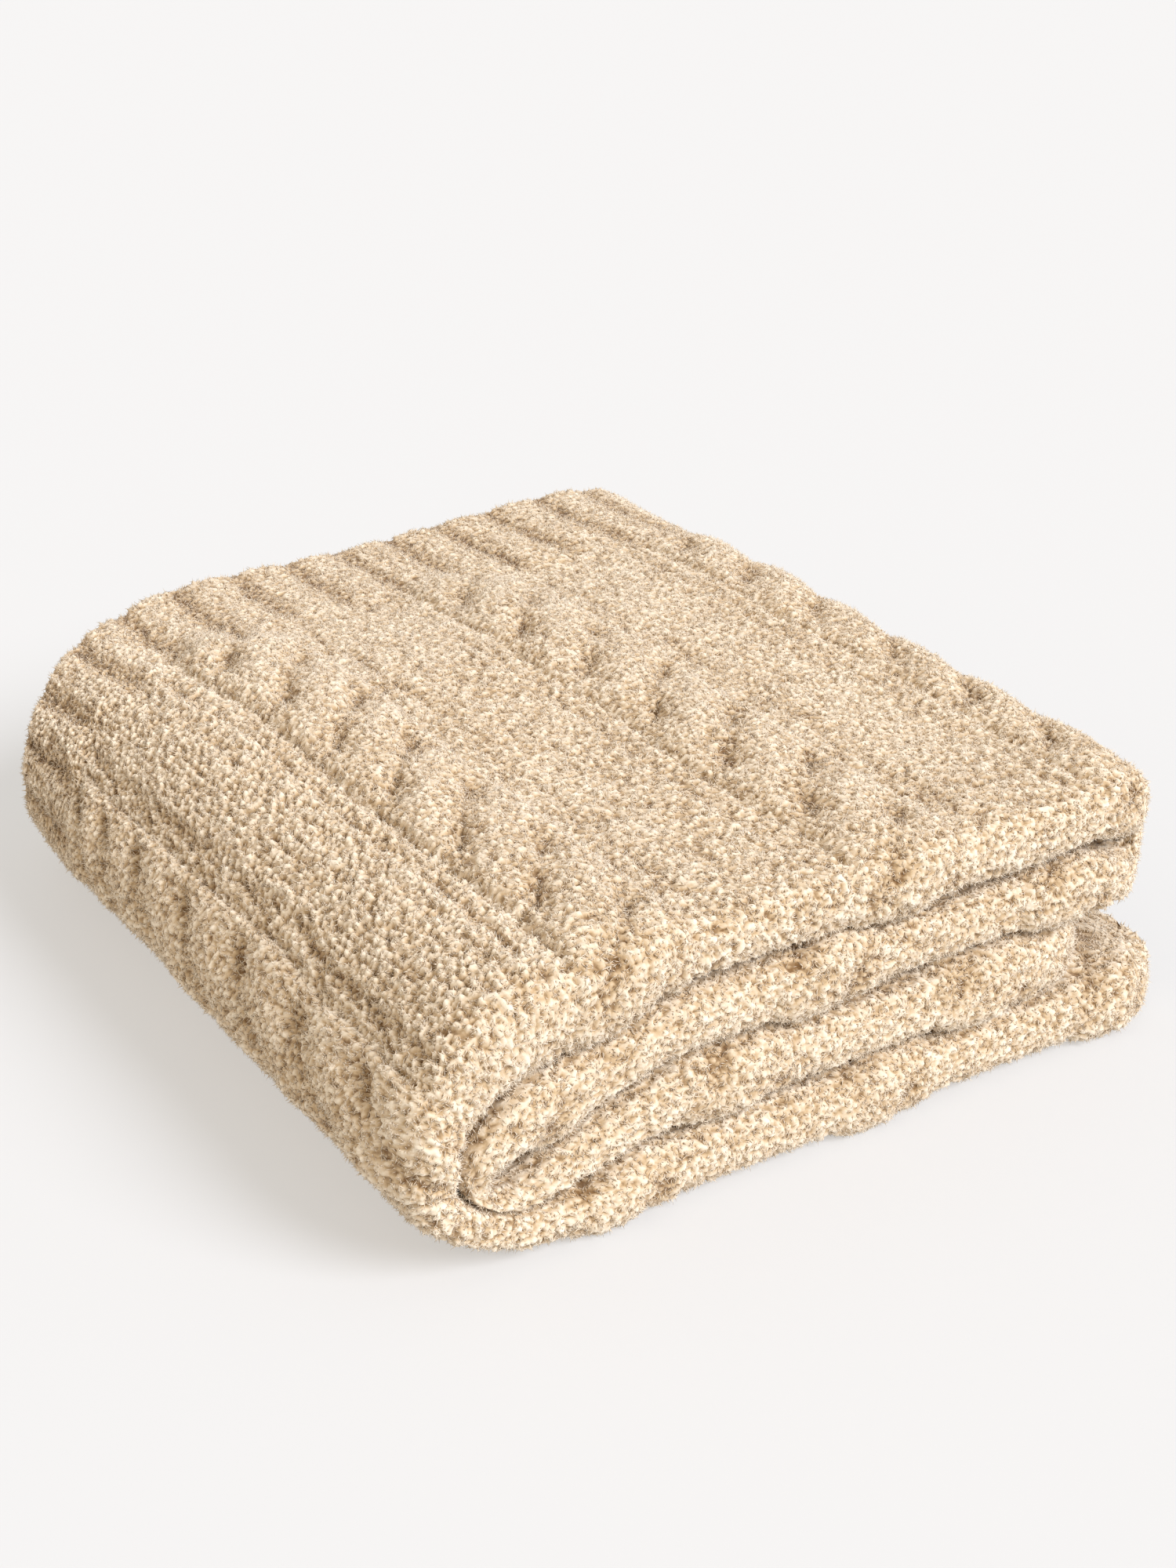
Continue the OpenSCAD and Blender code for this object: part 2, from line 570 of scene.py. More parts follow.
@dataclass
class Throw:
    """The folded throw: its stretches, their sheets and the pile on them."""

    stack: Stack
    knit: Knit
    skin: bpy.types.Material
    fibre: bpy.types.Material
    fineness: float = 1.18
    cloth_share: float = 0.94
    edge_least: float = 0.18
    front_left_round: float = 0.016
    back_left_round: float = 0.094
    front_right_round: float = 0.052
    front_right_low: float = 0.7
    back_right_round: float = 0.020
    round_depth: float = 0.62
    round_power: float = 2.2
    corner_in: float = 0.020
    mid_blend: float = 0.010
    back_thinner: float = 0.115
    back_left_thinner: float = 0.110
    thin_from: float = -0.020
    right_low_kept: float = 0.80
    right_high_kept: float = 0.76
    right_back_kept: float = 1.06
    right_drop: float = 0.0075
    right_drop_back: float = 0.6
    right_drop_reach: float = 0.030
    foot_out: float = 0.003
    foot_height: float = 0.050
    slump: float = 0.007
    slump_at: float = 0.032
    slump_reach: float = 0.026
    slump_back: float = 0.14
    slump_side: float = 0.045
    roll_power: float = 3.0
    tight_gap: float = 0.0028
    heart_gap: float = 0.0050
    heart_sag: float = 0.0195
    heart_draw: float = 0.016
    heart_reach: tuple[float, float] = (-0.058, -0.122)
    fibres_per_area: float = 0.49e6
    rim_lean: float = 1.4
    rim_pile: float = 1.5
    fray: float = 1.5
    fibre_length: tuple[float, float] = (1.2 * MM, 2.5 * MM)
    open_rise: float = 0.0006
    pressed_rise: float = -0.0006
    inner_rise: float = -0.0004
    pressed_relief: float = 0.55
    rolled_loss: float = 0.45
    swell_rise: float = 0.0009
    swell_over: float = 0.045
    # weights of the painted shade: darker between tufts, in pits, furrows and crossings, lighter on tuft
    # tops and raised fluff
    shade_least: float = 0.14
    tuft_painted_shade: float = 0.88
    fluff_tone_and_shade: float = 0.22
    recess_painted_shade: float = 0.62
    under_shade: float = 0.6

    def stretches(self) -> list[Stretch]:
        """Sets out the stretches of the strip, from the top layer's left end both ways."""
        s = self.stack
        half = s.layer_t / 2
        side_r = s.level(1) - s.mid_z
        heart_r = s.level(2) - s.mid_z
        side_knit = QUARTER_TURN * (side_r + half)
        tight_knit = HALF_TURN * 2 * half
        flat1, flat3, flat4 = s.tight_y - s.side_y, s.third_y - s.side_y, s.right_y - s.side_y
        heart_knit = QUARTER_TURN * heart_r
        knit2 = s.tight_y + tight_knit
        knit3 = knit2 + flat1 + 2 * heart_knit
        fine, medium = 0.92 * MM / self.fineness, 1.15 * MM / self.fineness
        coarse = 3.8 * MM / self.fineness
        out, inn = Wrap.OUTER, Wrap.INNER

        def plies(layer: int) -> dict[Wrap, tuple[str, ...]]:
            """Names the nodes of a layer that each of its sheets stands for."""
            outer = ("hem_band", "hem_panel", "front_fold", "plain_panel")
            inner = ("back_fold", "third_panel", "inner_front_fold", "second_panel", "second_hem_band")
            return {
                out: tuple(f"layer{layer}_{name}" for name in outer),
                inn: tuple(f"layer{layer}_{name}" for name in inner),
            }

        def whole(node: str) -> dict[Wrap, tuple[str, ...]]:
            """Names the one node that both sheets of a fold stand for."""
            return {out: (node,), inn: (node,)}

        top = {"step": fine, "coarse": fine, "rests_on": "layer2"}
        inside = {"step": medium, "coarse": coarse, "face_shows": 0.0, "pile": 0.12}
        heart = {"radius": heart_r, "turn": QUARTER_TURN, "facing": -1, "flattens": True, **inside}
        side = {"radius": side_r, "turn": -QUARTER_TURN, "flattens": True, "step": fine}
        return [
            Stretch("layer1_left", Body.LIFT, plies(1), s.side_y, s.level(1), s.side_y, flat1 / 2,
                    run=flat1 / 2, **top),
            Stretch("layer1_right", Body.LIFT, plies(1), s.side_y + flat1 / 2, s.level(1),
                    s.side_y + flat1 / 2, flat1 / 2, run=flat1 / 2, **top),
            Stretch("right_fold", Body.LIFT, whole("right_fold"), s.tight_y, s.tight_z, s.tight_y,
                    tight_knit, radius=half, angle=QUARTER_TURN, turn=-HALF_TURN,
                    **{**top, "coarse": medium}),
            Stretch("layer2", Body.LIFT, plies(2), s.tight_y, s.level(2), knit2, flat1, run=-flat1,
                    rests_on="layer3", **inside),
            Stretch("inner_side_fold_upper", Body.LIFT, whole("inner_side_fold_upper"), s.side_y,
                    s.mid_z, knit2 + flat1, heart_knit, angle=QUARTER_TURN, rests_on="layer3", **heart),
            Stretch("inner_side_fold_lower", Body.STAY, whole("inner_side_fold_lower"), s.side_y,
                    s.mid_z, knit2 + flat1 + heart_knit, heart_knit, angle=HALF_TURN,
                    rests_on="layer4", **heart),
            Stretch("layer3", Body.STAY, plies(3), s.side_y, s.level(3), knit3, flat3, run=flat3,
                    free_end=True, end_y=s.third_y, rests_on="layer4", **inside),
            Stretch("outer_side_fold_upper", Body.LIFT, whole("outer_side_fold_upper"), s.side_y,
                    s.mid_z, s.side_y - side_knit, side_knit, angle=HALF_TURN, coarse=fine,
                    rests_on="outer_side_fold_lower", **side),
            Stretch("outer_side_fold_lower", Body.STAY, whole("outer_side_fold_lower"), s.side_y,
                    s.mid_z, s.side_y - 2 * side_knit, side_knit, angle=HALF_TURN + QUARTER_TURN,
                    coarse=medium, **side),
            Stretch("layer4", Body.STAY, plies(4), s.right_y, s.level(4),
                    s.side_y - 2 * side_knit - flat4, flat4, run=-flat4, step=medium, coarse=40 * MM,
                    plain_step=5 * MM, free_start=True, face_shows=0.0, pile=0.0),
        ]

    def course(self, wrap: Wrap) -> Course:
        """Sets out the course of one of a layer's two sheets.

        Args:
            wrap: Which sheet.

        Returns:
            The course of the middle of its cloth.
        """
        s = self.stack
        outer_r, inner_r = 1.5 * s.ply_t, 0.5 * s.ply_t
        if wrap is Wrap.OUTER:
            return Course(s.back_x, outer_r, 0.0, [
                Leg(s.fold_x - s.back_x),
                Leg(HALF_TURN * outer_r, -HALF_TURN),
                Leg(s.fold_x - s.back_fold_x),
            ])
        return Course(s.back_fold_x, -outer_r, HALF_TURN, [
            Leg(HALF_TURN * inner_r, -HALF_TURN),
            Leg(s.fold_x - s.back_fold_x),
            Leg(HALF_TURN * inner_r, HALF_TURN),
            Leg(s.fold_x - s.back_x),
        ])

    def lay_out(self, stretch: Stretch, wrap: Wrap) -> Layout:
        """Sets out the lines of a sheet, close together where it shows.

        Args:
            stretch: The stretch of the strip.
            wrap: Which of its sheets.

        Returns:
            The layout. Its columns go out over the face and back over the underside, and end where
            they start.
        """
        course = self.course(wrap)
        edge = self.stack.ply_t / 2
        hidden, rim, rim_under = 40 * MM, 0.9 * MM, 1.7 * MM
        if wrap is Wrap.OUTER:
            roll, turned = course.leg_end(0), course.leg_end(1)
            face = stations(
                0.0, (edge, rim), (roll - 4 * edge, stretch.coarse), (roll, stretch.step),
                (turned + 2 * edge, 0.85 * MM / self.fineness), (course.length, stretch.plain_step),
            )
            under = stations(
                course.length, (turned, hidden), (roll, 4 * MM), (edge, hidden), (0.0, rim_under)
            )
        else:
            back, bend, turned = (course.leg_end(leg) for leg in range(3))
            face = stations(
                0.0, (back, rim), (bend, hidden), (turned, 1.6 * MM), (course.length - edge, hidden),
                (course.length, rim),
            )
            under = stations(
                course.length, (course.length - edge, rim_under), (turned, hidden), (bend, 2.5 * MM),
                (back, hidden), (0.0, 2.5 * MM),
            )
        along = np.concatenate([face, under, face[:1]])
        side = np.concatenate([np.ones(len(face)), -np.ones(len(under)), np.ones(1)])
        length = stretch.knit_length
        step = stretch.step if wrap is Wrap.OUTER else 1.3 * MM
        spans = [(length - edge if stretch.free_end else length, step)]
        if stretch.free_start:
            spans.insert(0, (edge, rim))
        if stretch.free_end:
            spans.append((length, rim))
        return Layout(stretch, wrap, course, along, side, stations(0.0, *spans) / length)

    def exposure(self, stretch: Stretch, share: np.ndarray, over: np.ndarray) -> np.ndarray:
        """Tells how far each place of an outer sheet is free of the layers that press on it.

        Args:
            stretch: The stretch of the strip.
            share: Shares of the stretch's length.
            over: Distance past the start of the front fold, below 0 before it.

        Returns:
            1 where the knit stands free, and 0 where it is pressed.
        """
        reach, before, after = 30 * MM, 12 * MM, 4 * MM
        along = share * stretch.knit_length
        face = np.full(share.shape, stretch.face_shows)
        if stretch.name == "layer2":
            face = smooth_step(reach, 0.0, along)
        if stretch.name == "layer4":
            face = smooth_step(stretch.knit_length - reach, stretch.knit_length, along)
        roll = HALF_TURN * 2 * self.stack.ply_t
        rolled = smooth_step(-before, after, over)
        past = smooth_step(roll - after, roll + before, over)
        free = (face * (1 - rolled) + rolled) * (1 - past)
        if stretch.name == "layer4":
            ledge = self.stack.right_y - self.stack.third_y
            free = np.maximum(free, past * smooth_step(ledge + 6 * MM, ledge - 4 * MM, along))
        return free

    def settle(self, stretch: Stretch, x: np.ndarray, y: np.ndarray, z: np.ndarray) -> np.ndarray:
        """Lets the stack settle: corners round off, the back thins, the heart sags, the sides slump.

        Args:
            stretch: The stretch that the points belong to.
            x: X of each point.
            y: Y of each point.
            z: Z of each point.

        Returns:
            The points, one row each.
        """
        s = self.stack

        def rounded(radius: float, away: np.ndarray) -> np.ndarray:
            """Gives how far a corner of that radius draws in, that far from the side."""
            inside = np.clip(1 - away / radius, 0.0, 1.0)
            return self.round_depth * radius * inside**self.round_power

        upper = smooth_step(s.mid_z - self.mid_blend, s.mid_z + self.mid_blend, z)
        kept = self.right_low_kept + (self.right_high_kept - self.right_low_kept) * upper
        kept = kept + (self.right_back_kept - kept) * smooth_step(s.fold_x, s.back_x, x)
        y = np.where(y > s.tight_y, s.tight_y + (y - s.tight_y) * kept, y)
        right = stretch.end_y or s.right_y
        front = smooth_step(0.0, s.fold_x - self.corner_in, x)
        back = smooth_step(0.0, s.back_fold_x + self.corner_in / 2, x)
        left_away, right_away = y - s.left_y, right - y
        front_right = self.front_right_round * (self.front_right_low + (1 - self.front_right_low) * upper)
        x = (
            x
            - front * (rounded(self.front_left_round, left_away) + rounded(front_right, right_away))
            + back * (rounded(self.back_left_round, left_away) + rounded(self.back_right_round, right_away))
            + front * self.foot_out * smooth_step(self.foot_height, 0.0, z)
        )
        to_left = smooth_step(s.right_y, 0.0, y) + smooth_step(s.side_y, s.left_y, y)
        thin = self.back_thinner + self.back_left_thinner * to_left
        thin = thin * smooth_step(self.thin_from, s.back_x, x)
        z = z - np.maximum(z - s.mid_z, 0.0) * thin
        at_right = smooth_step(s.tight_y - self.right_drop_reach, s.right_y, y)
        forward = self.right_drop_back + (1 - self.right_drop_back) * smooth_step(s.back_x, 0.0, x)
        z = z - self.right_drop * upper * at_right * forward
        drop, draw = self.heart_moves(y, z)
        y, z = y - draw, z - drop
        slump = np.exp(-(((z - self.slump_at) / self.slump_reach) ** 2))
        slump = slump * smooth_step(s.back_x, s.back_x + self.slump_back, x)
        y = y - self.slump * slump * smooth_step(s.side_y, s.side_y - self.slump_side, y)
        return np.stack([x, y, np.maximum(z, 0.4 * MM)], axis=-1)

    def heart_moves(self, y: np.ndarray, z: np.ndarray) -> tuple[np.ndarray, np.ndarray]:
        """Gives how far the inside of the side fold sags, while its outside stays.

        Args:
            y: Y of each point.
            z: Z of each point.

        Returns:
            How far each point comes down, and how far it moves out to the left.
        """
        s = self.stack
        above = (z - s.mid_z) / s.mid_z
        beyond = np.minimum(y - s.side_y, 0.0) / s.mid_z
        outer = np.clip(above * above + beyond * beyond, 0.0, 1.0)
        firm = 2 - np.clip(above / 0.4, -1.0, 1.0)
        near = smooth_step(*self.heart_reach, y)
        return self.heart_sag * (1 - outer) ** firm * near, self.heart_draw * (1 - outer) ** 4 * near

    def squeeze(self, stretch: Stretch, share: np.ndarray, height: np.ndarray) -> np.ndarray:
        """Thins a layer towards one face where it turns a tight fold, which leaves the fold a hollow.

        Args:
            stretch: The stretch of the strip.
            share: Shares of the stretch's length.
            height: Heights above the middle of the layer.

        Returns:
            The heights of the thinned layer.
        """
        half = self.stack.layer_t / 2
        along = share * stretch.knit_length
        tight, heart = np.zeros_like(share), np.zeros_like(share)
        reach, heart_reach = 50 * MM, 12 * MM
        if stretch.name == "layer1_right":
            tight = smooth_step(stretch.knit_length - reach, stretch.knit_length, along)
        elif stretch.name == "right_fold":
            tight = np.ones_like(share)
        elif stretch.name == "layer2":
            tight = smooth_step(reach, 0.0, along)
            heart = smooth_step(stretch.knit_length - heart_reach, stretch.knit_length, along)
        elif stretch.name.startswith("inner_side_fold"):
            heart = np.ones_like(share)
        elif stretch.name == "layer3":
            heart = smooth_step(heart_reach, 0.0, along)
        height = height + self.tight_gap * tight * (half - height) / (2 * half)
        return height - self.heart_gap * heart * (half + height) / (2 * half)

    def surface(self, layout: Layout) -> tuple[np.ndarray, np.ndarray]:
        """Works out the surface of a sheet.

        Args:
            layout: The lines of the sheet.

        Returns:
            The points, and the painted shade of each, by row and column.
        """
        s, knit = self.stack, self.knit
        stretch, wrap, course = layout.stretch, layout.wrap, layout.course
        share, along = np.meshgrid(layout.share, layout.along, indexing="ij")
        side = np.broadcast_to(layout.side, share.shape)
        half_cloth = self.cloth_share * s.ply_t / 2
        across = stretch.knit_from + stretch.knit_length * share
        x, height, heading = course.at(along)
        faced = side > 0
        swell = drift(across, along, self.swell_over, 17)
        if wrap is Wrap.OUTER:
            over = along - course.leg_end(0)
            stretched = np.clip(over, 0.0, course.legs[1].length) / 3  # the face is longer than the middle
            knit_x = s.back_x + along + stretched
            rolled = smooth_step(-4 * MM, 6 * MM, over)
            relief, deep = knit.pattern(across, knit_x, s.seam_x, rolled)
            free = self.exposure(stretch, share, over)
            rise = self.pressed_rise + (self.open_rise - self.pressed_rise) * free
            strength = self.pressed_relief + (1 - self.pressed_relief) * free
            relief = relief * (1 - self.rolled_loss * rolled) - knit.panel_under
            offset = rise + relief * strength + self.swell_rise * swell * free
        else:
            deep = np.zeros_like(across)
            offset = np.full_like(across, self.inner_rise)
            at_fold = smooth_step(course.leg_end(0) + 6 * MM, course.leg_end(0), along)
            at_end = smooth_step(course.length - 8 * MM, course.length - 4 * MM, along)
            strength = np.maximum(at_fold, at_end)
        rim = s.ply_t / 2
        back_edge = along if wrap is Wrap.OUTER else course.length - along
        near_back = np.clip(1 - back_edge / rim, 0.0, 1.0)
        near_start = np.clip(1 - share * stretch.knit_length / rim, 0.0, 1.0) * stretch.free_start
        near_end = np.clip(1 - (1 - share) * stretch.knit_length / rim, 0.0, 1.0) * stretch.free_end
        round_off = np.ones_like(share)
        for inside in (near_back, near_start, near_end):
            round_off = round_off * np.sqrt(np.maximum(1 - inside * inside, self.edge_least**2))
        out = np.where(faced, half_cloth + offset, -half_cloth) * round_off
        rise, tuft, fluff = knit.yarn(self.place(stretch, share, x, height, heading, out))
        out = out + np.where(faced, rise * strength * round_off, 0.0)
        x = x - self.fray * rise * near_back
        share = share + self.fray * rise * (near_end - near_start) / stretch.knit_length
        faced = faced | (near_back + near_start + near_end > 0)
        # painted shade: lighter on tuft tops and raised fluff, darker between tufts, in pits, furrows and
        # crossings; the fluff also varies the tone at random
        shade = self.shade_least + self.tuft_painted_shade * tuft + self.fluff_tone_and_shade * fluff - self.recess_painted_shade * deep
        shade = np.where(faced, np.clip(shade, 0.0, 1.0), self.under_shade)
        return self.place(stretch, share, x, height, heading, out), shade

    def place(
        self, stretch: Stretch, share: np.ndarray, x: np.ndarray, height: np.ndarray,
        heading: np.ndarray, out: np.ndarray,
    ) -> np.ndarray:
        """Places points that stand out from the course of a sheet.

        Args:
            stretch: The stretch of the strip.
            share: Shares of the stretch's length.
            x: X of the course.
            height: Height of the course above the middle of the layer.
            heading: Heading of the course.
            out: How far each point stands out from the course.

        Returns:
            The points, one row each.
        """
        x = x - np.sin(heading) * out
        height = height + np.cos(heading) * out
        ahead = np.maximum(x - self.stack.fold_x, 0.0)
        radial = np.maximum(np.hypot(ahead, height), 1e-9)
        power = self.roll_power
        bulk = ((ahead / radial) ** power + np.abs(height / radial) ** power) ** (-1 / power)
        x = x + ahead * (bulk - 1)
        height = np.where(ahead > 0, height * bulk, height)
        height = self.squeeze(stretch, share, height)
        if stretch.radius:
            least = -stretch.facing * (stretch.radius - 0.6 * MM)
            height = np.where(stretch.facing * (height - least) < 0, least, height)
        y, z = stretch.lay(share, height)
        return self.settle(stretch, x, y, z)

    def make_sheet(self, stretch: Stretch, wrap: Wrap) -> None:
        """Makes one closed sheet of the throw, and the pile on what shows of it.

        Args:
            stretch: The stretch of the strip.
            wrap: Which of its sheets.
        """
        layout = self.lay_out(stretch, wrap)
        mesh, column, row = flat_grid(layout.name, len(layout.along), len(layout.share))
        points, shade = self.surface(layout)
        mesh.vertices.foreach_set("co", points[row, column].astype(np.float32).ravel())
        # stores the painted shade that colours the knit
        mesh.attributes.new(PAINTED_SHADE, "FLOAT", "POINT").data.foreach_set(
            "value", shade[row, column].astype(np.float32)
        )
        lay_flat(mesh, unroll(layout.along, layout.side)[column], layout.share[row])
        close_tube(mesh)
        sheet = add_piece(mesh, self.skin)
        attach(sheet, stretch.body.value)
        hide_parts(*stretch.nodes[wrap])
        pile = self.make_pile(layout, points, shade)
        for piece in filter(None, (sheet, pile)):
            if stretch.flattens:
                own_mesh(piece)
        LOG.info("%s: %d faces", layout.name, len(mesh.polygons))

    def make_pile(self, layout: Layout, points: np.ndarray, shade: np.ndarray) -> bpy.types.Object | None:
        """Makes the short fibres that stand on what shows of a sheet.

        Args:
            layout: The lines of the sheet.
            points: The sheet's points, by row and column.
            shade: The painted shade of each point.

        Returns:
            The pile, or None where nothing shows.
        """
        cross = np.cross(points[1:, 1:] - points[:-1, :-1], points[1:, :-1] - points[:-1, 1:])
        area = 0.5 * np.linalg.norm(cross, axis=2)
        rim_x, rim_y = self.rims(layout)
        shows = np.maximum(self.shows(layout), self.rim_pile * np.maximum(rim_x, rim_y))
        weight = area * shows * self.fibres_per_area
        count = int(weight.sum())
        if count < 10:
            return None
        draw = np.random.default_rng(sum(map(ord, layout.stretch.name + layout.wrap.value)))
        cell = draw.choice(weight.size, count, p=weight.ravel() / weight.sum())
        i, j = np.unravel_index(cell, weight.shape)
        p, q = draw.random(count), draw.random(count)
        root = (
            points[i, j] * ((1 - p) * (1 - q))[:, None] + points[i + 1, j] * (p * (1 - q))[:, None]
            + points[i, j + 1] * ((1 - p) * q)[:, None] + points[i + 1, j + 1] * (p * q)[:, None]
        )
        up = cross[i, j] / np.linalg.norm(cross[i, j], axis=1)[:, None]
        up[:, 0] -= self.rim_lean * rim_x[i, j]
        up[:, 1] += self.rim_lean * rim_y[i, j]
        up /= np.linalg.norm(up, axis=1)[:, None]
        lean = draw.normal(size=(count, 3))
        lean -= (lean * up).sum(1)[:, None] * up
        lean /= np.linalg.norm(lean, axis=1)[:, None]
        rise = draw.uniform(0.25, 0.95, count)[:, None]
        way = up * rise + lean * np.sqrt(1 - rise * rise)
        length = draw.uniform(*self.fibre_length, count)
        # each fibre takes the painted shade of the knit under it, with random tone on top
        tint = np.clip(0.80 * shade[i, j] + 0.36 * draw.random(count) - 0.08, 0.0, 1.0)
        pile = make_fibres(f"{layout.name}_pile", root, way, length, tint, self.fibre, draw)
        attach(pile, layout.stretch.body.value)
        return pile

    def rims(self, layout: Layout) -> tuple[np.ndarray, np.ndarray]:
        """Marks the cut edges of a sheet, which are at its back and, on the end layers, at the right.

        Args:
            layout: The lines of the sheet.

        Returns:
            1 between the rows and columns at a back edge and at a right edge, and 0 elsewhere.
        """
        rim = self.stack.ply_t / 2
        middle, strip = layout.middle, layout.strip
        at_back = middle < rim if layout.wrap is Wrap.OUTER else middle > layout.course.length - rim
        at_right = (strip < rim) & layout.stretch.free_start
        at_right |= (strip > layout.stretch.knit_length - rim) & layout.stretch.free_end
        size = (len(strip), len(middle))
        return (
            np.broadcast_to(at_back[None, :], size).astype(float),
            np.broadcast_to(at_right[:, None], size).astype(float),
        )

    def shows(self, layout: Layout) -> np.ndarray:
        """Gives how much of the full pile stands between each two rows and columns of a sheet.

        Args:
            layout: The lines of the sheet.

        Returns:
            Shares of the full pile, by row and column.
        """
        s, course, stretch = self.stack, layout.course, layout.stretch
        near_edge = 1.5 * s.ply_t
        middle, strip = layout.middle, layout.strip
        faced = (layout.side[:-1] > 0) & (layout.side[1:] > 0)
        if layout.wrap is Wrap.OUTER:
            rolled = (middle > course.leg_end(0)) & (middle < course.leg_end(1) - 2 * MM)
            flat = stretch.pile * (middle <= course.leg_end(0))
            by_column = np.where(rolled | (middle < near_edge), 1.0, flat) * faced
        else:
            by_column = ((middle < course.leg_end(0)) | (middle > course.length - near_edge)) * faced
        shows = np.repeat(by_column[None, :], len(strip), 0).astype(float)
        if layout.name == "layer4_outer_plies":
            plain = (middle > course.leg_end(1)) & faced
            shows = np.maximum(shows, np.outer(strip < s.right_y - s.third_y + 4 * MM, plain))
        return shows


def flat_grid(name: str, columns: int, rows: int) -> tuple[bpy.types.Mesh, np.ndarray, np.ndarray]:
    """Makes the flat sheet that a piece is laid out from.

    Args:
        name: Name of the mesh.
        columns: How many points it has across.
        rows: How many points it has along.

    Returns:
        The mesh, and the column and row of each of its points.
    """
    bm = bmesh.new()
    bmesh.ops.create_grid(bm, x_segments=columns - 1, y_segments=rows - 1, size=1.0)
    mesh = bpy.data.meshes.new(name)
    bm.to_mesh(mesh)
    bm.free()
    flat = np.empty(len(mesh.vertices) * 3, np.float32)
    mesh.vertices.foreach_get("co", flat)
    flat = flat.reshape(-1, 3)
    column = np.rint((flat[:, 0] + 1) / 2 * (columns - 1)).astype(int)
    row = np.rint((flat[:, 1] + 1) / 2 * (rows - 1)).astype(int)
    return mesh, column, row


def unroll(along: np.ndarray, side: np.ndarray) -> np.ndarray:
    """Spreads the columns of a sheet over the width of its flat map, mostly for the face."""
    under_share = 0.06
    steps = np.abs(np.diff(along))
    faced = side[1:] > 0
    faced[-1] = False
    widths = np.where(faced, np.minimum(steps, 3 * MM), 0.0)
    widths = widths / widths.sum() * (1 - under_share)
    widths = np.where(faced, widths, under_share / np.count_nonzero(~faced))
    return np.concatenate([[0.0], np.cumsum(widths)])


def lay_flat(mesh: bpy.types.Mesh, across: np.ndarray, up: np.ndarray) -> None:
    """Gives a mesh its flat map.

    Args:
        mesh: The mesh.
        across: First coordinate of each vertex in the map.
        up: Second coordinate of each vertex in the map.
    """
    corner = np.empty(len(mesh.loops), np.int32)
    mesh.loops.foreach_get("vertex_index", corner)
    flat = np.stack([across[corner], up[corner]], axis=1)
    mesh.uv_layers.new(name=LAID_FLAT).data.foreach_set("uv", flat.astype(np.float32).ravel())


def close_tube(mesh: bpy.types.Mesh) -> None:
    """Joins the first and last columns of a sheet, and closes its two ends."""
    bm = bmesh.new()
    bm.from_mesh(mesh)
    rim = [v for v in bm.verts if v.is_boundary]
    bmesh.ops.remove_doubles(bm, verts=rim, dist=1e-7)
    rim_edges = [e for e in bm.edges if e.is_boundary]
    bmesh.ops.holes_fill(bm, edges=rim_edges, sides=0)
    for edge in rim_edges:
        edge.smooth = False
    for face in bm.faces:
        face.smooth = True
    bm.to_mesh(mesh)
    bm.free()


def make_fibres(
    name: str, root: np.ndarray, way: np.ndarray, length: np.ndarray, tint: np.ndarray,
    material: bpy.types.Material, draw: np.random.Generator,
) -> bpy.types.Object:
    """Makes fibres, each a slender closed spike of four faces.

    Args:
        name: Name of the piece.
        root: Where each starts.
        way: Where each points.
        length: How long each is.
        tint: The tone of each, from 0 to 1, partly random and partly the knit's painted shade.
        material: Their material.
        draw: Random numbers.

    Returns:
        The fibres, as one piece.
    """
    count = len(root)
    width = 0.28 * MM
    bm = bmesh.new()
    bmesh.ops.create_cone(bm, cap_ends=True, segments=3, radius1=1.0, radius2=0.0, depth=1.0)
    spike = bpy.data.meshes.new(name)
    bm.to_mesh(spike)
    bm.free()
    one = np.array([v.co for v in spike.vertices])
    faces = [tuple(face.vertices) for face in spike.polygons]
    side = np.cross(way, draw.normal(size=(count, 3)))
    side /= np.linalg.norm(side, axis=1)[:, None]
    third = np.cross(way, side)
    tip = (one[:, 2] + 0.5)[None, :, None]
    sink = 0.12
    points = (
        root[:, None, :]
        + way[:, None, :] * length[:, None, None] * (tip * (1 + sink) - sink)
        + width * (side[:, None, :] * one[None, :, 0, None] + third[:, None, :] * one[None, :, 1, None])
    )
    points[:, :, 2] = np.maximum(points[:, :, 2], 0.2 * MM)
    corners = np.array([v for face in faces for v in face], np.int32)
    sizes = np.array([len(face) for face in faces], np.int32)
    every = (np.arange(count, dtype=np.int32)[:, None] * len(one) + corners[None, :]).ravel()
    mesh = spike
    mesh.clear_geometry()
    mesh.vertices.add(count * len(one))
    mesh.vertices.foreach_set("co", points.astype(np.float32).ravel())
    mesh.loops.add(len(every))
    mesh.loops.foreach_set("vertex_index", every)
    totals = np.tile(sizes, count)
    mesh.polygons.add(len(totals))
    mesh.polygons.foreach_set("loop_start", np.concatenate([[0], np.cumsum(totals)[:-1]]).astype(np.int32))
    mesh.update(calc_edges=True)
    # the second coordinate runs from root to tip, for the painted shade along each fibre
    lay_flat(
        mesh, np.repeat(0.02 + 0.96 * tint, len(one)), np.tile(0.05 + 0.9 * tip[0, :, 0], count)
    )
    mesh.validate()
    return add_piece(mesh, material)


def add_piece(mesh: bpy.types.Mesh, material: bpy.types.Material) -> bpy.types.Object:
    """Puts a finished mesh in the scene as a piece of that material."""
    piece = bpy.data.objects.new(mesh.name, mesh)
    bpy.context.scene.collection.objects.link(piece)
    mesh.materials.append(material)
    return piece


def start_finish(
    name: str, sockets: dict[str, float | tuple[float, ...]]
) -> tuple[bpy.types.Material, bpy.types.NodeTree, bpy.types.Node]:
    """Starts a material.

    Args:
        name: Its name.
        sockets: Values of its shader's sockets.

    Returns:
        The material, its nodes and its shader.
    """
    material = bpy.data.materials.new(name)
    material.use_nodes = True
    shader = material.node_tree.nodes["Principled BSDF"]
    for socket, value in sockets.items():
        shader.inputs[socket].default_value = value
    return material, material.node_tree, shader


